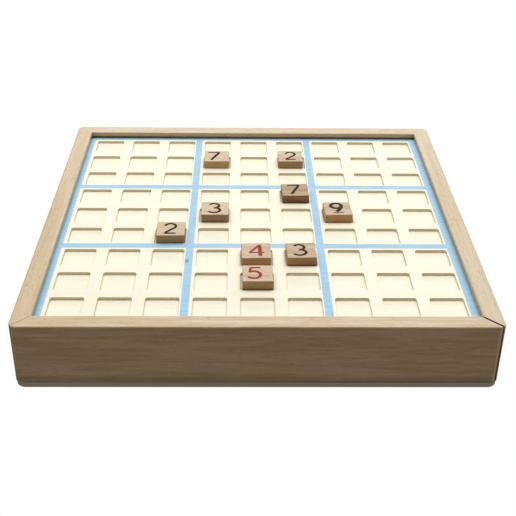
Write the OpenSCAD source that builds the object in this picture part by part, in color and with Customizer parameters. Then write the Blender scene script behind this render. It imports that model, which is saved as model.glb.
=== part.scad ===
// Sudoku board: a grooved beech frame with a milled play panel on top and a drawer of number tiles below.
// Origin: middle of the underside. X to the right, Y away from the drawer front, Z up. Millimetres.

/* [Tiles] */
// Width and depth of a number tile
tile_w = 15.9; // [12:0.1:20]
// Thickness of a number tile
tile_t = 6.5; // [4:0.1:9]
// Radius of a tile's upright edges
tile_corner_r = 0.6; // [0.2:0.1:1.2]
// Radius of a tile's top and bottom edges
tile_ease_r = 0.4; // [0.1:0.1:1]

/* [Play panel] */
// Room around a tile in its recess, on each side
tile_play = 0.85; // [0.6:0.05:2]
// Depth of a recess
recess_depth = 1.6; // [0.8:0.1:3]
// Corner radius that the cutter leaves in a recess
recess_corner_r = 1.5; // [0.8:0.1:3]
// Width of the rib between two recesses
rib_w = 6.55; // [4:0.05:10]
// Width of the border between the outer recesses and the rails
border_w = 4.9; // [2:0.05:12]
// Thickness of the play panel
panel_t = 5; // [4:0.1:8]

/* [Frame] */
// Thickness of a rail, measured through its mitre's square faces
rail_t = 9.7; // [8:0.1:16]
// Height of the rail's lip above the groove
lip_h = 2.7; // [1.5:0.1:6]
// Height of the open slot above the play panel
slot_h = 1.6; // [0.4:0.1:3]
// Depth of the groove that holds the play panel
groove_depth = 4; // [2:0.1:6]
// Room between the play panel's edge and the floor of the groove
groove_play = 0.4; // [0.1:0.1:1]
// Radius of the frame's upright outer corners
frame_corner_r = 3.5; // [2:0.1:8]
// Radius of the frame's long edges, apart from the square outer edge at the base
frame_ease_r = 0.8; // [0.2:0.1:1.5]

/* [Base] */
// Thickness of the base panel
base_t = 3; // [2:0.1:6]
// Radius of the base panel's corners
base_corner_r = 5.2; // [1:0.1:15]

/* [Drawer] */
// Height of the tray's sides
tray_h = 22.9; // [16:0.1:40]
// Thickness of the tray's sides and back
tray_t = 5; // [4:0.1:8]
// Thickness of the tray's bottom
tray_bottom_t = 2.8; // [2:0.1:4]
// Height of the bottom's groove above the lower edge of the sides
tray_bottom_rise = 2; // [1:0.1:5]
// Depth of the grooves that hold the tray's bottom
tray_groove_depth = 2.5; // [1:0.1:3]
// Depth of the housings in the drawer front for the tray's sides
front_housing_depth = 3; // [1:0.1:4]
// Depth of the housings in the tray's sides for its back
back_housing_depth = 2; // [1:0.1:3]
// Distance from the back of the tray's back to the ends of its sides
back_inset = 4; // [2:0.5:12]
// Radius of the tray's top edges
tray_ease_r = 0.8; // [0.2:0.1:1.5]

/* [Clearances] */
// Running gap under the tray
run_gap = 0.3; // [0.1:0.1:1]
// Running gap between the tray and each side rail
side_gap = 0.5; // [0.2:0.1:1]
// Gap between the tray and the rear rail when shut
rear_gap = 0.6; // [0.2:0.1:2]
// Gap between the top of the tray and the play panel
head_gap = 1; // [0.4:0.1:3]
// Gap between the drawer front and the base panel
front_gap = 0.2; // [0.2:0.1:1]
// Gap in the left mitre when shut, square to the mitre
left_mitre_gap = 0.2; // [0.1:0.1:1]
// Gap in the right mitre when shut, square to the mitre
right_mitre_gap = 1.2; // [0.1:0.1:1.5]

/* [Hidden] */
$fn = 48;
// How far a cut runs past the face that it leaves
overrun = 1;
mitre_angle = 45;

// The grid of nine by nine recesses sets the width of the opening and of the box
cells = 9;
cell_w = tile_w + 2 * tile_play;
pitch = cell_w + rib_w;
opening_w = cells * cell_w + (cells - 1) * rib_w + 2 * border_w;
box_w = opening_w + 2 * rail_t;
half_box = box_w / 2;
half_opening = opening_w / 2;
panel_w = opening_w + 2 * (groove_depth - groove_play);

// Heights, from the base up
tray_z = base_t + run_gap;
tray_bottom_z = tray_z + tray_bottom_rise;
tray_floor_z = tray_bottom_z + tray_bottom_t;
tray_top_z = tray_z + tray_h;
panel_z = tray_top_z + head_gap;
play_z = panel_z + panel_t;
recess_z = play_z - recess_depth;
groove_top_z = play_z + slot_h;
frame_top_z = groove_top_z + lip_h;
front_z = base_t + front_gap;

// The tray, from its outer faces in
tray_w = opening_w - 2 * side_gap;
tray_inner_w = tray_w - 2 * tray_t;
tray_front_y = -half_opening;
tray_end_y = half_opening - rear_gap;
back_rear_y = tray_end_y - back_inset;
back_front_y = back_rear_y - tray_t;
tray_inner_d = back_front_y - tray_front_y;

// How far a tile can lie off the middle of its recess, any way, before its corner meets the recess's corner
corner_slack = tile_play - (recess_corner_r - tile_corner_r) * (1 - cos(mitre_angle));
tile_slack = min(tile_play, corner_slack / cos(mitre_angle));
// Tiles on the board lie turned by shares of this angle
tile_turn = 3;

// Tiles on the board: name, column from the left, row from the front, shares of the slack and of the turn
BOARD_TILE_SHARES = [
    ["tile_7_rear", 3, 7, [-0.05, -0.9], 0],
    ["tile_2_rear", 5, 7, [-0.85, -0.35], 0],
    ["tile_7_middle", 5, 5, [0.2, -0.05], 0.7],
    ["tile_3_left", 3, 4, [0.65, -0.3], 0.1],
    ["tile_9_right", 6, 4, [-0.1, 0], 0.9],
    ["tile_2_left", 2, 3, [0.5, -0.5], 0.2],
    ["tile_4_front", 4, 2, [-0.3, -0.5], 0.6],
    ["tile_3_right", 5, 2, [0.1, 0], 0.7],
    ["tile_5_front", 4, 1, [0.35, 0.5], 0]
];

// Spare tiles in the tray: a column for each number, less those that lie on the board
SPARE_COUNTS = [9, 7, 7, 8, 8, 9, 7, 9, 8];
spare_pitch_x = tray_inner_w / cells;
spare_pitch_y = tray_inner_d / cells;
// Spare tiles lie a little turned, by a different amount each
spare_turn = 7;
spare_turn_step = 137.5;

beech = "#d8c09c";
tile_beech = "#cfb393";
basswood = "#f6f1d8";
plywood = "#d3bd98";

// A centred rectangle with round corners
module rounded_rectangle(w, d, r) {
    square([w - 2 * r, d], center = true);
    square([w, d - 2 * r], center = true);
    for (x = [-1, 1], y = [-1, 1])
        translate([x * (w / 2 - r), y * (d / 2 - r)]) circle(r);
}

// A square block with round upright corners and eased top and bottom edges, standing on z = 0
module eased_block(w, h, corner_r, ease_r) {
    straight = w - 2 * corner_r;
    for (turn = [0, 90])
        rotate([0, 0, turn]) rotate([90, 0, 0])
            linear_extrude(straight, center = true)
                translate([0, h / 2]) rounded_rectangle(w, h, ease_r);
    for (x = [-1, 1], y = [-1, 1])
        translate([x * straight / 2, y * straight / 2, 0]) rotate_extrude()
            intersection() {
                translate([0, h / 2]) rounded_rectangle(2 * corner_r, h, ease_r);
                square([corner_r, h]);
            }
}

// Section of a rail: x runs in from the outer face, y up from its lower edge, which stands at height z
module rail_section(z) {
    h = frame_top_z - z;
    difference() {
        translate([rail_t / 2, h / 2]) rounded_rectangle(rail_t, h, frame_ease_r);
        translate([rail_t - groove_depth, panel_z - z]) square([groove_depth + overrun, panel_t + slot_h]);
    }
    square([rail_t - groove_depth, h]);
}

// Front member of the frame from height z up: the section along X, cut by the two mitres and the corners
module mitred_rail(z, left_gap, right_gap) {
    h = frame_top_z - z;
    left_shift = left_gap / cos(mitre_angle);
    right_shift = right_gap / cos(mitre_angle);
    reach = rail_t + overrun;
    translate([0, 0, z]) intersection() {
        translate([0, -half_box, 0]) rotate([90, 0, 90])
            linear_extrude(box_w, center = true) rail_section(z);
        translate([0, 0, -frame_ease_r])
            eased_block(box_w, h + frame_ease_r, frame_corner_r, frame_ease_r);
        linear_extrude(h) polygon([
            [left_shift - half_box, -half_box],
            [half_box - right_shift, -half_box],
            [half_box - right_shift - reach, reach - half_box],
            [left_shift - half_box + reach, reach - half_box]
        ]);
    }
}

module right_rail() {
    color(beech) rotate([0, 0, 90]) mitred_rail(base_t, 0, 0);
}

module rear_rail() {
    color(beech) rotate([0, 0, 180]) mitred_rail(base_t, 0, 0);
}

module left_rail() {
    color(beech) rotate([0, 0, 270]) mitred_rail(base_t, 0, 0);
}

module base_panel() {
    color(plywood) linear_extrude(base_t) rounded_rectangle(box_w, box_w, base_corner_r);
}

// Places a child in the middle of a recess, counted from the left and from the front
module at_cell(column, row) {
    middle = (cells - 1) / 2;
    translate([(column - middle) * pitch, (row - middle) * pitch, recess_z]) children();
}

module play_panel() {
    color(basswood) difference() {
        translate([-panel_w / 2, -panel_w / 2, panel_z]) cube([panel_w, panel_w, panel_t]);
        for (column = [0:cells - 1], row = [0:cells - 1])
            at_cell(column, row)
                linear_extrude(recess_depth + overrun) rounded_rectangle(cell_w, cell_w, recess_corner_r);
    }
}

// The drawer front has housings for the tray's sides and a groove for its bottom
module drawer_front() {
    color(beech) difference() {
        mitred_rail(front_z, left_mitre_gap, right_mitre_gap);
        for (x = [-tray_w / 2, tray_w / 2 - tray_t])
            translate([x, tray_front_y - front_housing_depth, tray_z])
                cube([tray_t, front_housing_depth + overrun, tray_h]);
        translate([-tray_inner_w / 2 - tray_groove_depth, tray_front_y - tray_groove_depth, tray_bottom_z])
            cube([tray_inner_w + 2 * tray_groove_depth, tray_groove_depth + overrun, tray_bottom_t]);
    }
}

// Left side of the tray, with its eased top edge, the groove for the bottom and the housing for the back
module tray_side() {
    length = tray_end_y - tray_front_y + front_housing_depth;
    inner_x = -tray_inner_w / 2;
    difference() {
        translate([-tray_w / 2, tray_end_y, tray_z]) rotate([90, 0, 0]) linear_extrude(length) {
            translate([tray_t / 2, tray_h / 2]) rounded_rectangle(tray_t, tray_h, tray_ease_r);
            square([tray_t, tray_h / 2]);
        }
        translate([inner_x - tray_groove_depth, tray_front_y - front_housing_depth - overrun, tray_bottom_z])
            cube([tray_groove_depth + overrun, back_rear_y - tray_front_y + front_housing_depth + overrun,
                tray_bottom_t]);
        translate([inner_x - back_housing_depth, back_front_y, tray_floor_z])
            cube([back_housing_depth + overrun, tray_t, tray_h]);
    }
}

module drawer_side_left() {
    color(plywood) tray_side();
}

module drawer_side_right() {
    color(plywood) mirror([1, 0, 0]) tray_side();
}

module drawer_back() {
    back_w = tray_inner_w + 2 * back_housing_depth;
    back_h = tray_top_z - tray_floor_z;
    color(plywood) translate([-back_w / 2, back_front_y, tray_floor_z]) rotate([90, 0, 90])
        linear_extrude(back_w) {
            translate([tray_t / 2, back_h / 2]) rounded_rectangle(tray_t, back_h, tray_ease_r);
            square([tray_t, back_h / 2]);
        }
}

module drawer_bottom() {
    bottom_w = tray_inner_w + 2 * tray_groove_depth;
    front_y = tray_front_y - tray_groove_depth;
    color(plywood) translate([-bottom_w / 2, front_y, tray_bottom_z])
        cube([bottom_w, back_rear_y - front_y, tray_bottom_t]);
}

// A number tile standing on z = 0: three crossing sections ease all its edges
module tile() {
    intersection() {
        linear_extrude(tile_t) rounded_rectangle(tile_w, tile_w, tile_corner_r);
        eased_slab(0);
        eased_slab(90);
    }
}

// The tile's upright section, carried through along one direction
module eased_slab(turn) {
    rotate([0, 0, turn]) rotate([90, 0, 0])
        linear_extrude(tile_w + 2 * overrun, center = true)
            translate([0, tile_t / 2]) rounded_rectangle(tile_w, tile_t, tile_ease_r);
}

// A tile in its recess on the board
module board_tile(i) {
    place = BOARD_TILE_SHARES[i];
    color(tile_beech) at_cell(place[1], place[2])
        translate(place[3] * tile_slack) rotate([0, 0, place[4] * tile_turn]) tile();
}

// The column of spare tiles of one number, from the front of the tray to the back
module spare_tiles(number) {
    middle = (cells - 1) / 2;
    column_x = (number - 1 - middle) * spare_pitch_x;
    color(tile_beech) for (row = [0:SPARE_COUNTS[number - 1] - 1])
        translate([column_x, tray_front_y + (row + 1 / 2) * spare_pitch_y, tray_floor_z])
            rotate([0, 0, spare_turn * sin(spare_turn_step * (number * cells + row))]) tile();
}

left_rail();
right_rail();
rear_rail();
base_panel();
play_panel();
drawer_front();
drawer_side_left();
drawer_side_right();
drawer_back();
drawer_bottom();
for (i = [0:len(BOARD_TILE_SHARES) - 1])
    board_tile(i);
for (number = [1:cells])
    spare_tiles(number);
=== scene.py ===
import math

import bpy
import numpy as np
from bpy.props import FloatProperty, FloatVectorProperty, PointerProperty
from mathutils import Matrix, Vector


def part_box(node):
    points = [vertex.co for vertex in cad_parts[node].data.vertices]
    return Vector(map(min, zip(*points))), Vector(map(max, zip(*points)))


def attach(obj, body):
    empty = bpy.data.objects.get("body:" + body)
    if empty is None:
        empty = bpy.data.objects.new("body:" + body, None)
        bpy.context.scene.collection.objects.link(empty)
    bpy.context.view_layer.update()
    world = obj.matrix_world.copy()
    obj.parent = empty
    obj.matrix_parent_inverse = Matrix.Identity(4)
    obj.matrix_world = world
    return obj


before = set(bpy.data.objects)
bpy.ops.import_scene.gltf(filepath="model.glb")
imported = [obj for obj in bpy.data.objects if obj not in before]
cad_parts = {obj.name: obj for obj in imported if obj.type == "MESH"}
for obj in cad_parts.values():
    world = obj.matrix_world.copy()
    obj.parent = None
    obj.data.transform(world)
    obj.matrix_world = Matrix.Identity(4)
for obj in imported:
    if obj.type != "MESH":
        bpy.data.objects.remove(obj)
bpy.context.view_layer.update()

bl_info = {
    "name": "Sudoku Board Dressing",
    "version": (1, 0, 0),
    "blender": (4, 5, 0),
    "location": "View3D > Sidebar > Sudoku Board",
    "description": "Finishes the woods of a sudoku board, prints its lines and numbers, and sets its stage",
    "category": "Object",
}

MM = 0.001

# Cells along a side of the board and of a block, and the middle one's number
CELLS = 9
BLOCK_CELLS = 3
MIDDLE = (CELLS + 1) / 2

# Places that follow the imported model: the play panel's top, the opening between the rails, the drawer
# front's right end and foot, and the pitch of the spare tiles in the tray
PLAY_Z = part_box("play_panel")[1].z
OPENING_HALF = -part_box("left_rail")[1].x
FRONT_END_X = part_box("drawer_front")[1].x
FOOT_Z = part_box("drawer_front")[0].z
SPARE_PITCH_X = 2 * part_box("drawer_side_right")[0].x / CELLS
SPARE_PITCH_Y = (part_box("drawer_back")[0].y + OPENING_HALF) / CELLS

# The tiles on the board: number, shift of the print from the middle in mm, its turn in degrees, darkness of
# the wood and brightness of the painted shade on the sawn sides
BOARD_TILES = {
    "tile_7_rear": (7, (-1.8, 0.0), 0.0, 0.17, 1.2),
    "tile_2_rear": (2, (0.1, 0.4), 0.0, 0.35, 1.1),
    "tile_7_middle": (7, (-0.7, 0.2), 2.1, 0.90, 0.8),
    "tile_3_left": (3, (-0.4, 0.2), 0.3, 0.12, 0.8),
    "tile_9_right": (9, (-0.6, 0.6), 2.7, 0.32, 1.4),
    "tile_2_left": (2, (-0.3, 0.0), 0.6, 0.13, 0.95),
    "tile_4_front": (4, (0.4, 0.3), 1.8, 0.21, 1.0),
    "tile_3_right": (3, (-0.75, 0.3), 2.1, 0.48, 1.1),
    "tile_5_front": (5, (-1.6, 0.1), 0.0, 0.12, 1.0),
}

# Spare tiles lie turned by a sine of their count, as in the part's source, and share one darkness
SPARE_TURN = 7.0
SPARE_TURN_STEP = math.radians(137.5)
SPARE_TONE = 0.3

# Numbers printed in red, and numbers with a dash below: the dash's ends from the middle in mm, its share of
# the stroke's width, and the scale and the rise that make room for it
RED_NUMBERS = (4, 5)
DASHED_NUMBERS = (6, 9)
DASH_ENDS = ((-2.6, -5.9), (3.9, -5.7))
DASH_WEIGHT = 0.6
DASHED_SCALE = 0.92
DASHED_RISE = 0.6 * MM

# Each stroke of a number is thicker than the one before by this share, so that no two tops lie in one plane
FILM_STEP = 0.1

# Shift of the printed lines from the middle in mm, and how far they run on under the rails
PRINT_SHIFT = (-0.5, 0.7)
UNDER_RAIL = 1 * MM

# The pin knot that shows through a printed line: middle, outer and inner radius, the share of its colour,
# and the factors on the distance that draw it twice as long along Y
PIN_KNOT = (-37.8 * MM, -51.8 * MM, PLAY_Z)
KNOT_R, KNOT_CORE_R, KNOT_SHARE = 1.5 * MM, 0.5 * MM, 0.75
KNOT_SHRINK = (1.0, 0.5, 1.0)

# Painted light on the beech: the heights where the painted shade at the foot and the painted shadow in the
# seam begin and are full, the places along the front where that shadow and the painted highlight on the
# end's arris begin and the runs over which they grow, and their shares
FOOT_SHADE_FROM, FOOT_SHADE_FULL, FOOT_SHADE_SHARE = FOOT_Z + 4.2 * MM, FOOT_Z + 2.4 * MM, 0.4
SEAM_FROM, SEAM_FULL, SEAM_SHARE = FOOT_Z + 0.9 * MM, FOOT_Z + 0.5 * MM, 0.46
SEAM_SHADOW_START, SEAM_SHADOW_RUN = -10 * MM, 40 * MM
END_HIGHLIGHT_FROM, END_HIGHLIGHT_RUN, END_HIGHLIGHT_SHARE = FRONT_END_X - 1.4 * MM, 0.8 * MM, 0.7


def linear(code):
    """Linear RGBA of an sRGB hex colour: c / 12.92 below 0.04045, else ((c + 0.055) / 1.055) ** 2.4."""
    parts = [int(code[i:i + 2], 16) / 255 for i in (1, 3, 5)]
    return (*[c / 12.92 if c <= 0.04045 else ((c + 0.055) / 1.055) ** 2.4 for c in parts], 1.0)


def colour(code, name, description):
    """A colour property with its default given as sRGB hex."""
    return FloatVectorProperty(name=name, description=description, subtype="COLOR", size=4,
                               min=0.0, max=1.0, default=linear(code))


def length(value_mm, name, description):
    """A length property with its default given in millimetres."""
    return FloatProperty(name=name, description=description, unit="LENGTH", min=0.0, precision=5,
                         default=value_mm * MM)


class BoardSizes(bpy.types.PropertyGroup):
    """Sizes of the print and of the stage"""
    pitch: length(24.15, "Pitch", "Distance from one recess to the next")
    line_w: length(4.2, "Line width", "Width of the printed lines that run to the rear")
    cross_line_w: length(4.7, "Cross line width", "Width of the printed lines that run to the side")
    frame_line_w: length(3.4, "Outer line width", "Width of the printed line along the rails that shows")
    ink_t: length(0.03, "Ink thickness", "Thickness of the printed film")
    number_w: length(8.2, "Number width", "Width of a printed number")
    number_h: length(12.5, "Number height", "Height of a printed number")
    stroke_w: length(1.45, "Stroke width", "Width of a number's stroke")
    floor_w: length(6000.0, "Floor width", "Width of the studio floor")


class BoardColours(bpy.types.PropertyGroup):
    """Colours of the woods, the inks and the stage"""
    beech_light: colour("#C5B499", "Beech", "Early wood of the left rail and the drawer front")
    beech_pale: colour("#C0B49B", "Pale beech", "Early wood of the right and rear rails")
    beech_dark: colour("#B29E79", "Beech streak", "Late wood of the rails and the drawer front")
    beech_fleck: colour("#7E6146", "Beech fleck", "Ray flecks of the frame and the tiles")
    # Partly end grain, partly a painted shade for the dark gap between the mitres
    beech_end_grain_and_shade: colour("#8C7858", "Beech end grain", "Mitred ends of the rails and the drawer front")
    # Painted shade on the inward faces of the rails and the drawer front, browner and darker
    beech_inner_shade: colour("#FFF7E4", "Beech inner face", "Browning of the frame's inner faces")
    # Painted shade at the foot of each beech piece, where it meets the base
    beech_foot_shade: colour("#817B61", "Beech foot", "Stain of the frame where it meets the base")
    # Painted shadow in the seam between the drawer front and the base
    beech_seam_shadow: colour("#33271B", "Seam", "Dust in the seam between the drawer front and the base")
    # Painted highlight on the arris at the drawer front's right end
    beech_end_highlight: colour("#DED2BE", "Rubbed beech", "Rubbed end of the drawer front")
    tile_light: colour("#BDA98E", "Tile beech", "Early wood of a pale tile")
    tile_dark: colour("#907351", "Tile streak", "Late wood of a dark tile")
    # Painted shade on a tile's sawn sides, multiplied in
    tile_side_shade: colour("#EFD6AD", "Tile side", "Browning of a tile's sawn sides")
    basswood_light: colour("#E4E3D2", "Basswood", "Early wood of the play panel")
    basswood_dark: colour("#DEDCC8", "Basswood streak", "Late wood of the play panel")
    # Painted shade on the walls of the milled recesses
    basswood_wall_shade: colour("#DED3B4", "Cut edge", "Walls of the milled recesses")
    ply_face: colour("#D8CBB2", "Plywood", "Face veneer of the tray's plywood")
    ply_core: colour("#B9A98C", "Plywood core", "Core veneers of the plywood")
    ply_dark: colour("#8C7A5E", "Plywood fleck", "Flecks and glue lines of the plywood")
    base_face: colour("#B0B8B8", "Base", "Face veneer of the base panel")
    knot: colour("#5C7080", "Pin knot", "Knot of the play panel under the blue ink")
    ink_blue: colour("#99C0DA", "Blue ink", "Printed lines of the play panel")
    ink_black: colour("#312213", "Black ink", "Printed numbers")
    ink_red: colour("#8B3737", "Red ink", "Printed red numbers")
    fill: colour("#8F847A", "Fill light", "Light of the room around the board")
    backdrop: colour("#FFFFFF", "Backdrop", "Floor and background that the camera sees")


def sizes():
    """The sizes in use."""
    return bpy.context.scene.board_sizes


def colours():
    """The colours in use."""
    return bpy.context.scene.board_colours


# Materials

# Sizes in mm along and across the grain. Fibres are really 0.1 mm wide, and drawn coarser so that they show
RAIL_LOOK = {
    "broad": (150.0, 12.0), "broad_share": 1.1,
    "ring": (170.0, 7.0), "ring_count": 7.0, "ring_share": 0.3,
    "fibre": (38.0, 1.1), "fibre_share": 1.2,
    "fleck": (4.2, 0.65), "fleck_from": 0.59, "fleck_fade": 0.12, "fleck_share": 0.34,
    "wander": 0.3, "rough": (0.40, 0.54), "bump": 0.25,
}
FRONT_LOOK = dict(RAIL_LOOK, broad=(48.0, 4.2), ring=(90.0, 6.0), ring_count=5.0, fibre=(20.0, 1.2),
                  broad_share=1.85, ring_share=0.7, fibre_share=2.3, fleck_share=0.3, wander=1.1)
PANEL_LOOK = dict(RAIL_LOOK, broad=(180.0, 20.0), ring_share=0.15, fibre=(30.0, 1.0), fleck_share=0.05,
                  rough=(0.55, 0.68), bump=0.12)
PLY_LOOK = dict(RAIL_LOOK, broad=(160.0, 24.0), ring=(200.0, 18.0), fibre=(60.0, 1.6), fleck_share=0.2,
                rough=(0.55, 0.70))
TILE_LOOK = dict(RAIL_LOOK, broad=(40.0, 6.0), ring=(60.0, 4.0), ring_count=4.0, fibre=(16.0, 0.8),
                 fleck=(2.6, 0.55), rough=(0.45, 0.60))

# Layers of the grain with their shift of the seed and their detail, the same for the flecks, and how deep
# the fibres lie
GRAIN_LAYERS = (("broad", 0.0, 1.0), ("ring", 11.0, 1.0), ("fibre", 23.0, 4.0))
FLECK_SEED, FLECK_DETAIL = 31.0, 1.0
FIBRE_DEPTH = 0.05 * MM

# Roughness of the noise, the range that most of it lies in, and how far a seed shifts it along each axis
NOISE_ROUGH = 0.55
NOISE_LOW, NOISE_HIGH = 0.3, 0.7
SEED_SHIFT = (1.0, 1.7, 2.3)

# Seeds of the finishes, with the step from one like piece to the next
PANEL_SEED = 3.0
PLY_SEED = 2.0
TILE_SEED, TILE_SEED_STEP = 2.0, 3.7
SPARE_SEED, SPARE_SEED_STEP = 40.0, 5.1

# Normals: the height over which a face counts as flat and under which as upright, the cosine of a mitre's
# normal with a rail's inward direction, and how closely a face has to meet such a cosine and stand upright
FLAT, UPRIGHT = 0.9, 0.3
MITRE = math.sqrt(0.5)
TURN_SLACK, TILT_SLACK = 0.05, 0.1

# Plywood: darkness of the veneer, half the blur between plies, and where a glue line begins in a ply's fold
PLY_TONE = 0.2
PLY_BLUR = 0.02
GLUE_FROM = 0.9

# Inks: size in mm, seed and detail of their patches, the strength there, roughness and gloss
INK_PATCH, INK_SEED, INK_DETAIL = (12.0, 1.6), 5.0, 3.0
INK_WEAK, INK_STRONG = 0.92, 1.06
LINE_INK_ROUGH, NUMBER_INK_ROUGH = 0.6, 0.7
INK_SPECULAR = 0.1


def add(tree, kind, settings=None):
    """Adds a node. A setting named or numbered for an input gives it a value or links it to a socket, and
    any other sets a property of the node."""
    made = tree.nodes.new(kind)
    for key, value in (settings or {}).items():
        if not isinstance(key, int) and key not in made.inputs:
            setattr(made, key, value)
        elif isinstance(value, bpy.types.NodeSocket):
            tree.links.new(made.inputs[key], value)
        else:
            made.inputs[key].default_value = value
    return made


def blank(name):
    """A new material with a Principled shader; returns the material, its tree and the shader."""
    material = bpy.data.materials.new(name)
    material.use_nodes = True
    tree = material.node_tree
    return material, tree, tree.nodes["Principled BSDF"]


def streaks(tree, place, along, size_mm, seed, detail, distortion=0.0):
    """Noise drawn out along the grain: a repeat takes size_mm[0] along the axis and size_mm[1] across it."""
    run, width = size_mm
    scale = [1 / ((run if axis == along else width) * MM) for axis in "XYZ"]
    mapped = add(tree, "ShaderNodeMapping", {
        "Vector": place, "Scale": scale,
        "Location": [seed * shift for shift in SEED_SHIFT]}).outputs["Vector"]
    return add(tree, "ShaderNodeTexNoise", {
        "Vector": mapped, "Scale": 1.0, "Detail": detail, "Roughness": NOISE_ROUGH,
        "Distortion": distortion}).outputs["Fac"]


def timber(tree, along, seed, light, dark, fleck, look, tone=0.5):
    """Planed wood with its grain along one axis; returns the colour, the roughness and the normal sockets.

    Rings are the level lines of a noise drawn out along the grain: the noise times a count, folded to and
    fro between 0 and 1. Level = tone + broad noise + rings + fibres, each less a half and times its share,
    and it blends the light wood to the dark. Flecks are short dashes where a finer noise passes a threshold.
    """
    place = add(tree, "ShaderNodeTexCoord").outputs["Object"]
    broad, figure, fibre = [streaks(tree, place, along, look[layer], seed + shift, detail, look["wander"])
                            for layer, shift, detail in GRAIN_LAYERS]
    dash = streaks(tree, place, along, look["fleck"], seed + FLECK_SEED, FLECK_DETAIL)
    counted = add(tree, "ShaderNodeMath", {
        "operation": "MULTIPLY", 0: figure, 1: look["ring_count"]}).outputs[0]
    ring = add(tree, "ShaderNodeMath", {"operation": "PINGPONG", 0: counted, 1: 1.0}).outputs[0]
    level = tone
    for value, share in ((broad, "broad_share"), (ring, "ring_share"), (fibre, "fibre_share")):
        swing = add(tree, "ShaderNodeMath", {"operation": "SUBTRACT", 0: value, 1: 0.5}).outputs[0]
        level = add(tree, "ShaderNodeMath", {
            "operation": "MULTIPLY_ADD", 0: swing, 1: look[share], 2: level}).outputs[0]
    body = add(tree, "ShaderNodeMix", {"data_type": "RGBA", 0: level, 6: light, 7: dark}).outputs[2]
    mask = add(tree, "ShaderNodeMapRange", {
        "Value": dash, "From Min": look["fleck_from"], "From Max": look["fleck_from"] + look["fleck_fade"],
        "To Max": look["fleck_share"]}).outputs[0]
    tint = add(tree, "ShaderNodeMix", {"data_type": "RGBA", 0: mask, 6: body, 7: fleck}).outputs[2]
    rough = add(tree, "ShaderNodeMapRange", {
        "Value": fibre, "From Min": NOISE_LOW, "From Max": NOISE_HIGH,
        "To Min": look["rough"][0], "To Max": look["rough"][1]}).outputs[0]
    bump = add(tree, "ShaderNodeBump", {"Strength": look["bump"], "Distance": FIBRE_DEPTH, "Height": fibre})
    return tint, rough, bump.outputs["Normal"]


def link_wood(tree, shader, tint, rough, normal):
    """Links a wood's colour, roughness and normal to its shader."""
    tree.links.new(shader.inputs["Base Color"], tint)
    tree.links.new(shader.inputs["Roughness"], rough)
    tree.links.new(shader.inputs["Normal"], normal)


def along_axis(tree, output, axis):
    """One component of the object's coordinates or of its normal."""
    found = add(tree, "ShaderNodeTexCoord").outputs[output]
    return add(tree, "ShaderNodeSeparateXYZ", {0: found}).outputs[axis]


def on_sides(tree, tint, side_shade_tint, blend="MIX"):
    """Blends a tint towards another on upright faces, the more the lower the height of the normal is."""
    up = along_axis(tree, "Normal", "Z")
    steep = add(tree, "ShaderNodeMath", {"operation": "ABSOLUTE", 0: up}).outputs[0]
    amount = add(tree, "ShaderNodeMapRange", {
        "Value": steep, "From Min": FLAT, "From Max": UPRIGHT}).outputs[0]
    return add(tree, "ShaderNodeMix", {
        "data_type": "RGBA", "blend_type": blend, 0: amount, 6: tint, 7: side_shade_tint}).outputs[2]


def upright_faces(tree, inward, cosine):
    """Mask of a rail's upright faces whose normal has this cosine with the rail's inward direction."""
    normal = add(tree, "ShaderNodeTexCoord").outputs["Normal"]
    facing = add(tree, "ShaderNodeVectorMath", {
        "operation": "DOT_PRODUCT", 0: normal, 1: inward}).outputs["Value"]
    turned = add(tree, "ShaderNodeMath", {
        "operation": "COMPARE", 0: facing, 1: cosine, 2: TURN_SLACK}).outputs[0]
    height = along_axis(tree, "Normal", "Z")
    upright = add(tree, "ShaderNodeMath", {
        "operation": "COMPARE", 0: height, 1: 0.0, 2: TILT_SLACK}).outputs[0]
    return add(tree, "ShaderNodeMath", {"operation": "MULTIPLY", 0: turned, 1: upright}).outputs[0]


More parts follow.
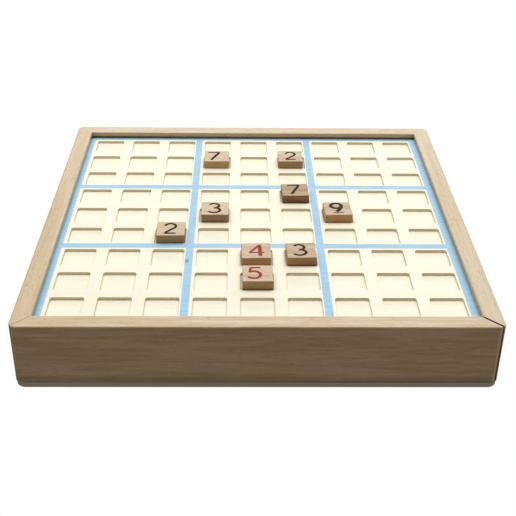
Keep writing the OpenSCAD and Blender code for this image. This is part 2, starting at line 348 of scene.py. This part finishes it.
def beech_lacquered(name, along, inward, seed, light, tone, look, painted_seam_and_end=False):
    """Beech planed, sanded and lacquered matt: pinkish tan with short brown ray flecks and a soft sheen.

    The mitred ends are darker: partly end grain, partly a painted shade for the gap between the mitres.
    The inward faces get a painted shade, browner and darker, and a painted shade darkens the foot where it
    meets the base. On the drawer front the seam with the base gets a painted shadow that grows to the right,
    and the arris at its right end a painted highlight. Each of these is laid over the wood in turn, by its
    mask.
    """
    c = colours()
    material, tree, shader = blank(name)
    tint, rough, normal = timber(tree, along, seed, light, c.beech_dark, c.beech_fleck, look, tone)
    height = along_axis(tree, "Object", "Z")
    # Painted shade: darker towards the foot, over the lowest few mm above the base
    foot_shade = add(tree, "ShaderNodeMapRange", {
        "Value": height, "From Min": FOOT_SHADE_FROM, "From Max": FOOT_SHADE_FULL, "To Max": FOOT_SHADE_SHARE}).outputs[0]
    # Mitred ends: end grain, darkened further by a painted shade for the gap between the mitres
    marks = [(upright_faces(tree, inward, MITRE), "MIX", c.beech_end_grain_and_shade),
             # Inward faces: painted shade, browner and darker
             (upright_faces(tree, inward, 1.0), "MULTIPLY", c.beech_inner_shade),
             (foot_shade, "MIX", c.beech_foot_shade)]
    if painted_seam_and_end:
        place = along_axis(tree, "Object", along)
        # Painted shadow in the seam with the base: over the lowest mm, growing towards the right end
        low = add(tree, "ShaderNodeMapRange", {
            "Value": height, "From Min": SEAM_FROM, "From Max": SEAM_FULL}).outputs[0]
        seam_shadow_ramp = add(tree, "ShaderNodeMapRange", {
            "Value": place, "From Min": SEAM_SHADOW_START, "From Max": SEAM_SHADOW_START + SEAM_SHADOW_RUN,
            "To Max": SEAM_SHARE}).outputs[0]
        seam = add(tree, "ShaderNodeMath", {"operation": "MULTIPLY", 0: low, 1: seam_shadow_ramp}).outputs[0]
        # Painted highlight on the arris at the right end
        end_highlight = add(tree, "ShaderNodeMapRange", {
            "Value": place, "From Min": END_HIGHLIGHT_FROM, "From Max": END_HIGHLIGHT_FROM + END_HIGHLIGHT_RUN,
            "To Max": END_HIGHLIGHT_SHARE}).outputs[0]
        marks += [(seam, "MIX", c.beech_seam_shadow), (end_highlight, "MIX", c.beech_end_highlight)]
    for mask, blend, mark in marks:
        tint = add(tree, "ShaderNodeMix", {
            "data_type": "RGBA", "blend_type": blend, 0: mask, 6: tint, 7: mark}).outputs[2]
    link_wood(tree, shader, tint, rough, normal)
    return material


def basswood_milled(name):
    """Basswood plywood, sanded and milled: cream and nearly without figure, dull, with a painted shade on
    the recess walls, darker and yellower.
    """
    c = colours()
    material, tree, shader = blank(name)
    tint, rough, normal = timber(tree, "X", PANEL_SEED, c.basswood_light, c.basswood_dark, c.ply_dark,
                                 PANEL_LOOK)
    # The recess walls get a painted shade, darker and yellower
    link_wood(tree, shader, on_sides(tree, tint, c.basswood_wall_shade), rough, normal)
    return material


def plywood_sanded(name, along, across, low, ply, seed, face, core_share):
    """Sanded plywood: quiet face veneer, and on the edges the plies in turn pale and dark.

    The ply's number is the distance from the low face over its thickness. Odd ones are the core, darker by
    core_share. Where the number's fold to and fro between 0 and 1 comes near 1 lies a glue line, a third as
    strong.
    """
    c = colours()
    material, tree, shader = blank(name)
    tint, rough, normal = timber(tree, along, seed, face, c.ply_core, c.ply_dark, PLY_LOOK, PLY_TONE)
    height = along_axis(tree, "Object", across)
    depth = add(tree, "ShaderNodeMath", {"operation": "SUBTRACT", 0: height, 1: low}).outputs[0]
    count = add(tree, "ShaderNodeMath", {"operation": "DIVIDE", 0: depth, 1: ply}).outputs[0]
    swing = add(tree, "ShaderNodeMath", {"operation": "PINGPONG", 0: count, 1: 1.0}).outputs[0]
    turn = add(tree, "ShaderNodeMath", {"operation": "MODULO", 0: count, 1: 2.0}).outputs[0]
    core = add(tree, "ShaderNodeMapRange", {
        "Value": turn, "From Min": 1 - PLY_BLUR, "From Max": 1 + PLY_BLUR, "To Max": core_share}).outputs[0]
    glue = add(tree, "ShaderNodeMapRange", {
        "Value": swing, "From Min": GLUE_FROM, "From Max": 1.0, "To Max": core_share / 3}).outputs[0]
    for mask, mark in ((core, c.ply_core), (glue, c.ply_dark)):
        tint = add(tree, "ShaderNodeMix", {"data_type": "RGBA", 0: mask, 6: tint, 7: mark}).outputs[2]
    link_wood(tree, shader, tint, rough, normal)
    return material


def beech_tile(name, seed, tone, side=1.0):
    """Sawn and tumbled beech tile: pinkish tan, each piece of its own tone, a little dull, with a painted
    shade on the sawn sides, browner and darker, of each tile's own brightness."""
    c = colours()
    material, tree, shader = blank(name)
    tint, rough, normal = timber(tree, "X", seed, c.tile_light, c.tile_dark, c.beech_fleck, TILE_LOOK, tone)
    # Painted shade on the sawn sides, its strength set for each tile
    side_shade_tint = [value * side for value in c.tile_side_shade]
    link_wood(tree, shader, on_sides(tree, tint, side_shade_tint, "MULTIPLY"), rough, normal)
    return material


def screen_ink(name, tint, rough, knot=None):
    """Screen-printed ink on wood: flat colour, a little uneven where the wood took it up, dull.

    A pin knot of the wood below darkens the ink round the point knot, by the distance from it.
    """
    material, tree, shader = blank(name)
    place = add(tree, "ShaderNodeTexCoord").outputs["Object"]
    patch = streaks(tree, place, "X", INK_PATCH, INK_SEED, INK_DETAIL)
    strength = add(tree, "ShaderNodeMapRange", {
        "Value": patch, "From Min": NOISE_LOW, "From Max": NOISE_HIGH,
        "To Min": INK_WEAK, "To Max": INK_STRONG}).outputs[0]
    uneven = add(tree, "ShaderNodeHueSaturation", {"Color": tint, "Value": strength}).outputs["Color"]
    if knot is not None:
        offset = add(tree, "ShaderNodeVectorMath", {
            "operation": "SUBTRACT", 0: place, 1: knot}).outputs["Vector"]
        drawn = add(tree, "ShaderNodeVectorMath", {
            "operation": "MULTIPLY", 0: offset, 1: KNOT_SHRINK}).outputs["Vector"]
        away = add(tree, "ShaderNodeVectorMath", {"operation": "LENGTH", 0: drawn}).outputs["Value"]
        shows = add(tree, "ShaderNodeMapRange", {
            "Value": away, "From Min": KNOT_R, "From Max": KNOT_CORE_R, "To Max": KNOT_SHARE}).outputs[0]
        uneven = add(tree, "ShaderNodeMix", {
            "data_type": "RGBA", 0: shows, 6: uneven, 7: colours().knot}).outputs[2]
    tree.links.new(shader.inputs["Base Color"], uneven)
    shader.inputs["Roughness"].default_value = rough
    shader.inputs["Specular IOR Level"].default_value = INK_SPECULAR
    return material


def number_inks():
    """The black and the red ink, made once."""
    tints = {"black_screen_ink": colours().ink_black, "red_screen_ink": colours().ink_red}
    return [bpy.data.materials.get(name) or screen_ink(name, tint, NUMBER_INK_ROUGH)
            for name, tint in tints.items()]


def dress(node_name, material):
    """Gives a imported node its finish."""
    if node_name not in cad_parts:
        raise RuntimeError(f"the packed model has no {node_name} to finish")
    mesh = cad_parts[node_name].data
    mesh.materials.clear()
    mesh.materials.append(material)


# Surfaces


def mesh_object(name, points, faces, material):
    """An object at the origin from lists of points and faces."""
    mesh = bpy.data.meshes.new(name)
    mesh.from_pydata(points, [], faces)
    mesh.materials.append(material)
    mesh.update()
    made = bpy.data.objects.new(name, mesh)
    bpy.context.scene.collection.objects.link(made)
    return made


def make_piece(name, points, quads, material, body):
    """A piece from an array of points and an array of four-cornered faces, riding on a body."""
    piece = mesh_object(name, points.tolist(), quads.tolist(), material)
    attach(piece, body)
    return piece


def joined(shapes):
    """Several shapes' points and quads as one: each shape's quads count on from the points before it."""
    points, quads = zip(*shapes)
    starts = np.cumsum([0] + [len(p) for p in points[:-1]])
    return np.concatenate(points), np.concatenate([q + start for q, start in zip(quads, starts)])


def line_sheet(stops, height):
    """Crossing lines as one flat sheet: its points are a grid on the lines' edges both ways, and a cell is
    kept where its column or its row has an even number, counted from 0, and so is part of a line."""
    x, y = np.meshgrid(*stops, indexing="ij")
    points = np.stack([x, y, np.full_like(x, height)], -1).reshape(-1, 3)
    columns, rows = x.shape
    i, j = np.meshgrid(np.arange(columns - 1), np.arange(rows - 1), indexing="ij")
    inked = (i % 2 == 0) | (j % 2 == 0)
    corner = (i * rows + j)[inked]
    return points, np.stack([corner, corner + rows, corner + rows + 1, corner + 1], -1)


def swept_quads(count, closed):
    """Quads of a bar of count sections with four corners each: i to i + 1 along it and j to j + 1 round it,
    and the first and the last section as end caps where it is open."""
    corners = np.arange(4)
    i = np.arange(count if closed else count - 1)[:, None] * 4
    j, beside = corners[None, :], (corners[None, :] + 1) % 4
    after = (i + 4) % (count * 4)
    quads = np.stack([i + j, i + beside, after + beside, after + j], -1).reshape(-1, 4)
    if not closed:
        quads = np.concatenate([quads, [corners[::-1], corners + (count - 1) * 4]])
    return quads


def stroke(path, width, low, high, closed):
    """A flat bar carried along a plane path: section corners at the path plus and minus half its width along
    the normal, at heights low and high."""
    tangent = np.roll(path, -1, 0) - np.roll(path, 1, 0) if closed else np.gradient(path, axis=0)
    tangent /= np.linalg.norm(tangent, axis=1, keepdims=True)
    normal = np.stack([-tangent[:, 1], tangent[:, 0]], 1) * width / 2
    sides = [(normal, low), (normal, high), (-normal, high), (-normal, low)]
    section = [np.column_stack([path + n, np.full(len(path), z)]) for n, z in sides]
    return np.stack(section, 1).reshape(-1, 3), swept_quads(len(path), closed)


def arc(cx, cy, rx, ry, start, end, count=28):
    """Points of an ellipse's arc: centre plus radii times cosine and sine of angles from start to end."""
    a = np.radians(np.linspace(start, end, count))
    return np.column_stack([cx + rx * np.cos(a), cy + ry * np.sin(a)])


def bend(p0, p1, p2, count=20):
    """Points of a quadratic curve: (1-t)^2 p0 + 2t(1-t) p1 + t^2 p2."""
    t = np.linspace(0, 1, count)[:, None]
    return (1 - t) ** 2 * np.array(p0) + 2 * t * (1 - t) * np.array(p1) + t ** 2 * np.array(p2)


def line(*points):
    """Points joined by straight lines."""
    return np.array(points, float)


def number_strokes(number):
    """Centre lines of a number in a box from -1 to 1 both ways, as (path, weight, closed) rows. A 9 is a 6
    turned by half a turn."""
    six = [(arc(0, -0.4, 1, 0.6, 0, 350, 36), 1.45, True),
           (bend((-1, -0.38), (-0.85, 0.45), (0.2, 1)), 1.45, False)]
    shapes = {
        1: [(line((0.15, 1), (0.15, -1)), 1.1, False),
            (line((0.2, 1), (-0.6, 0.6)), 1.0, False)],
        2: [(np.concatenate([arc(0, 0.45, 0.88, 0.55, 170, -34), [(-0.86, -0.92)]]), 1.1, False),
            (line((-0.95, -1), (0.95, -1)), 1.0, False)],
        3: [(arc(-0.08, 0.5, 0.86, 0.5, 150, -92), 1.1, False),
            (arc(-0.08, -0.47, 1.05, 0.53, 92, -152), 1.1, False)],
        4: [(line((0.5, 1), (-1.16, -0.44)), 0.95, False),
            (line((-1.26, -0.47), (1.18, -0.47)), 0.9, False),
            (line((0.5, 1.02), (0.5, -1.12)), 1.4, False)],
        5: [(line((0.95, 0.96), (-0.66, 0.96)), 0.95, False),
            (line((-0.6, 0.96), (-0.74, 0.1)), 1.0, False),
            (arc(-0.1, -0.31, 1.02, 0.63, 134, -150), 1.15, False)],
        6: six,
        7: [(line((-1.1, 1), (1.1, 1)), 0.95, False),
            (line((0.98, 0.98), (-0.5, -1.05)), 1.25, False)],
        8: [(arc(0, 0.52, 0.8, 0.48, 0, 350, 32), 1.1, True),
            (arc(0, -0.46, 1, 0.54, 0, 350, 36), 1.1, True)],
        9: [(-path, weight, closed) for path, weight, closed in six],
    }
    return shapes[number]


def number_print(number, middle, turn, top):
    """Points and quads of one number printed on a tile's top, with a dash under a 6 or a 9: its strokes,
    scaled to the number's size, turned by the turn in degrees and moved to the middle."""
    s = sizes()
    half = np.array([s.number_w - s.stroke_w, s.number_h - s.stroke_w]) / 2
    paths = [(path * half, weight, closed) for path, weight, closed in number_strokes(number)]
    if number in DASHED_NUMBERS:
        paths = [(path * DASHED_SCALE + [0.0, DASHED_RISE], weight, closed)
                 for path, weight, closed in paths]
        paths.append((line(*DASH_ENDS) * MM, DASH_WEIGHT, False))
    cosine, sine = math.cos(math.radians(turn)), math.sin(math.radians(turn))
    turned = np.array([[cosine, sine], [-sine, cosine]])
    bars = []
    for k, (path, weight, closed) in enumerate(paths):
        film = s.ink_t * (1 + FILM_STEP * k)
        points, quads = stroke(path, s.stroke_w * weight, top - s.ink_t, top + film, closed)
        points[:, :2] = points[:, :2] @ turned + middle
        bars.append((points, quads))
    return joined(bars)


# Operators


class BOARD_OT_frame(bpy.types.Operator):
    """Finish the beech rails and the drawer front"""
    bl_idname = "board.frame"
    bl_label = "Rails and drawer front"

    def execute(self, context):
        c = colours()
        # Node, grain, inward direction, seed, early wood, darkness, look, and whether the seam gets a
        # painted shadow and the end a painted highlight
        rails = (("left_rail", "Y", (1, 0, 0), 1.0, c.beech_light, 0.6, RAIL_LOOK, False),
                 ("right_rail", "Y", (-1, 0, 0), 4.0, c.beech_pale, 0.5, RAIL_LOOK, False),
                 ("rear_rail", "X", (0, -1, 0), 7.0, c.beech_pale, 0.3, RAIL_LOOK, False),
                 ("drawer_front", "X", (0, 1, 0), 12.3, c.beech_light, 0.45, FRONT_LOOK, True))
        for node_name, *settings in rails:
            dress(node_name, beech_lacquered(f"beech_lacquered_{node_name}", *settings))
        return {"FINISHED"}


class BOARD_OT_plywood(bpy.types.Operator):
    """Finish the plywood base and the drawer's tray"""
    bl_idname = "board.plywood"
    bl_label = "Base and tray"

    def execute(self, context):
        c = colours()
        # Node, grain, axis across the plies, their number, face veneer, and share of the darker core
        sheets = (("base_panel", "X", "Z", 3, c.base_face, 0.2),
                  ("drawer_side_left", "Y", "X", 5, c.ply_face, 0.75),
                  ("drawer_side_right", "Y", "X", 5, c.ply_face, 0.75),
                  ("drawer_back", "X", "Y", 5, c.ply_face, 0.75),
                  ("drawer_bottom", "X", "Z", 3, c.ply_face, 0.75))
        for k, (node_name, along, across, plies, face, core_share) in enumerate(sheets):
            low, high = (getattr(corner, across.lower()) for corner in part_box(node_name))
            dress(node_name, plywood_sanded(f"plywood_sanded_{node_name}", along, across, low,
                                            (high - low) / plies, PLY_SEED + k, face, core_share))
        return {"FINISHED"}


class BOARD_OT_play_panel(bpy.types.Operator):
    """Finish the play panel and print its blue lines"""
    bl_idname = "board.play_panel"
    bl_label = "Play panel"

    def execute(self, context):
        s = sizes()
        dress("play_panel", basswood_milled("basswood_milled"))
        block, inner = BLOCK_CELLS / 2 * s.pitch, OPENING_HALF - s.frame_line_w
        under = OPENING_HALF + UNDER_RAIL
        stops = []
        for width, shift in zip((s.line_w, s.cross_line_w), PRINT_SHIFT):
            half = np.array([inner, block + width / 2, block - width / 2])
            edges = np.concatenate([-half, half[::-1]]) + shift * MM
            stops.append(np.concatenate([[-under], edges, [under]]))
        points, quads = line_sheet(stops, PLAY_Z + s.ink_t)
        ink = screen_ink("blue_screen_ink", colours().ink_blue, LINE_INK_ROUGH, PIN_KNOT)
        piece = make_piece("blue_lines", points, quads, ink, "box")
        film = piece.modifiers.new("film", "SOLIDIFY")
        film.thickness = 2 * s.ink_t
        film.offset = -1.0
        return {"FINISHED"}


class BOARD_OT_tiles(bpy.types.Operator):
    """Finish the tiles on the board and print their numbers"""
    bl_idname = "board.tiles"
    bl_label = "Tiles on the board"

    def execute(self, context):
        inks = number_inks()
        for k, (node_name, (number, shift, turn, tone, side)) in enumerate(BOARD_TILES.items()):
            dress(node_name, beech_tile(f"beech_{node_name}", TILE_SEED + TILE_SEED_STEP * k, tone, side))
            low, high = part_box(node_name)
            middle = (np.array(low) + np.array(high))[:2] / 2 + np.array(shift) * MM
            points, quads = number_print(number, middle, turn, high.z)
            make_piece(f"number_on_{node_name}", points, quads, inks[number in RED_NUMBERS], node_name)
        return {"FINISHED"}


class BOARD_OT_spares(bpy.types.Operator):
    """Finish the spare tiles in the drawer and print their numbers"""
    bl_idname = "board.spares"
    bl_label = "Spare tiles"

    def execute(self, context):
        inks = number_inks()
        for number in range(1, CELLS + 1):
            node_name = f"spare_tiles_{number}"
            seed = SPARE_SEED + SPARE_SEED_STEP * number
            dress(node_name, beech_tile(f"beech_{node_name}", seed, SPARE_TONE))
            low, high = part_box(node_name)
            prints = []
            for row in range(int((high.y - low.y) // SPARE_PITCH_Y) + 1):
                middle = ((number - MIDDLE) * SPARE_PITCH_X, (row + 0.5) * SPARE_PITCH_Y - OPENING_HALF)
                turn = SPARE_TURN * math.sin(SPARE_TURN_STEP * (number * CELLS + row))
                prints.append(number_print(number, middle, turn, high.z))
            points, quads = joined(prints)
            make_piece(f"numbers_on_{node_name}", points, quads, inks[number in RED_NUMBERS], "drawer")
        return {"FINISHED"}


# The camera's place, its tilt down, turn to the right and roll, its lens and its nearest distance
CAMERA_PLACE = Vector((-8.75, -496.04, 300.95)) * MM
CAMERA_PITCH = math.radians(30.984)
CAMERA_YAW = math.radians(1.231)
CAMERA_ROLL = math.radians(0.793)
CAMERA_LENS = 66.83
SENSOR_W = 36.0
CLIP_START = 10 * MM

# The softboxes: place, width and depth in metres, and power in watts
SOFTBOXES = {
    "overhead_softbox": ((0.0, 0.42, 1.45), 2.0, 1.2, 30.5),
    "rear_softbox": ((0.3, 1.6, 0.6), 1.8, 0.5, 10.0),
}


def lay_floor():
    """A plain floor that shines as bright as the backdrop and casts neither light nor shade on the board."""
    material, _, shader = blank("studio_floor")
    shader.inputs["Base Color"].default_value = linear("#000000")
    shader.inputs["Specular IOR Level"].default_value = 0.0
    shader.inputs["Emission Color"].default_value = colours().backdrop
    shader.inputs["Emission Strength"].default_value = 1.0
    half = sizes().floor_w / 2
    corners = [(-half, -half, 0.0), (half, -half, 0.0), (half, half, 0.0), (-half, half, 0.0)]
    floor = mesh_object("studio_floor", corners, [(0, 1, 2, 3)], material)
    floor.visible_diffuse = False
    floor.visible_glossy = False
    floor.visible_shadow = False


def light_room():
    """The room's fill light, with the backdrop where the camera sees past the board."""
    world = bpy.data.worlds.new("studio")
    world.use_nodes = True
    tree = world.node_tree
    seen = add(tree, "ShaderNodeLightPath").outputs["Is Camera Ray"]
    sky = add(tree, "ShaderNodeMix", {
        "data_type": "RGBA", 0: seen, 6: colours().fill, 7: colours().backdrop}).outputs[2]
    tree.links.new(tree.nodes["Background"].inputs["Color"], sky)
    bpy.context.scene.world = world


def hang_softbox(name, place, width, depth, watts):
    """An area light aimed at the board."""
    lamp = bpy.data.lights.new(name, "AREA")
    lamp.shape = "RECTANGLE"
    lamp.size = width
    lamp.size_y = depth
    lamp.energy = watts
    made = bpy.data.objects.new(name, lamp)
    made.location = place
    made.rotation_euler = (-Vector(place)).to_track_quat("-Z", "Y").to_euler()
    bpy.context.scene.collection.objects.link(made)


def set_camera():
    """The camera, by its angles: forward from yaw and pitch, right and up turned about it by the roll."""
    forward = Vector((math.sin(CAMERA_YAW) * math.cos(CAMERA_PITCH),
                      math.cos(CAMERA_YAW) * math.cos(CAMERA_PITCH), -math.sin(CAMERA_PITCH)))
    level = Vector((math.cos(CAMERA_YAW), -math.sin(CAMERA_YAW), 0.0))
    upright = level.cross(forward)
    right = math.cos(CAMERA_ROLL) * level + math.sin(CAMERA_ROLL) * upright
    up = -math.sin(CAMERA_ROLL) * level + math.cos(CAMERA_ROLL) * upright
    data = bpy.data.cameras.new("camera")
    data.lens = CAMERA_LENS
    data.sensor_width = SENSOR_W
    data.clip_start = CLIP_START
    camera = bpy.data.objects.new("camera", data)
    turned = Matrix((right, up, -forward)).transposed().to_4x4()
    camera.matrix_world = Matrix.Translation(CAMERA_PLACE) @ turned
    bpy.context.scene.collection.objects.link(camera)
    bpy.context.scene.camera = camera


class BOARD_OT_stage(bpy.types.Operator):
    """Set the floor, the lights and the camera"""
    bl_idname = "board.stage"
    bl_label = "Stage"

    def execute(self, context):
        lay_floor()
        light_room()
        for name, settings in SOFTBOXES.items():
            hang_softbox(name, *settings)
        set_camera()
        context.scene.view_settings.view_transform = "Standard"
        return {"FINISHED"}


class BOARD_PT_pieces(bpy.types.Panel):
    """Lists the board's finishing steps"""
    bl_idname = "BOARD_PT_pieces"
    bl_label = "Sudoku Board"
    bl_space_type = "VIEW_3D"
    bl_region_type = "UI"
    bl_category = "Sudoku Board"

    def draw(self, context):
        for operator in OPERATORS:
            self.layout.operator(operator.bl_idname)


OPERATORS = (BOARD_OT_stage, BOARD_OT_frame, BOARD_OT_plywood, BOARD_OT_play_panel, BOARD_OT_tiles,
             BOARD_OT_spares)
CLASSES = (BoardSizes, BoardColours, *OPERATORS, BOARD_PT_pieces)


def register():
    for cls in CLASSES:
        bpy.utils.register_class(cls)
    bpy.types.Scene.board_sizes = PointerProperty(type=BoardSizes)
    bpy.types.Scene.board_colours = PointerProperty(type=BoardColours)


def unregister():
    del bpy.types.Scene.board_colours
    del bpy.types.Scene.board_sizes
    for cls in reversed(CLASSES):
        bpy.utils.unregister_class(cls)


def main():
    register()
    bpy.ops.board.stage()
    bpy.ops.board.frame()
    bpy.ops.board.plywood()
    bpy.ops.board.play_panel()
    bpy.ops.board.tiles()
    bpy.ops.board.spares()


if __name__ == "__main__":
    main()
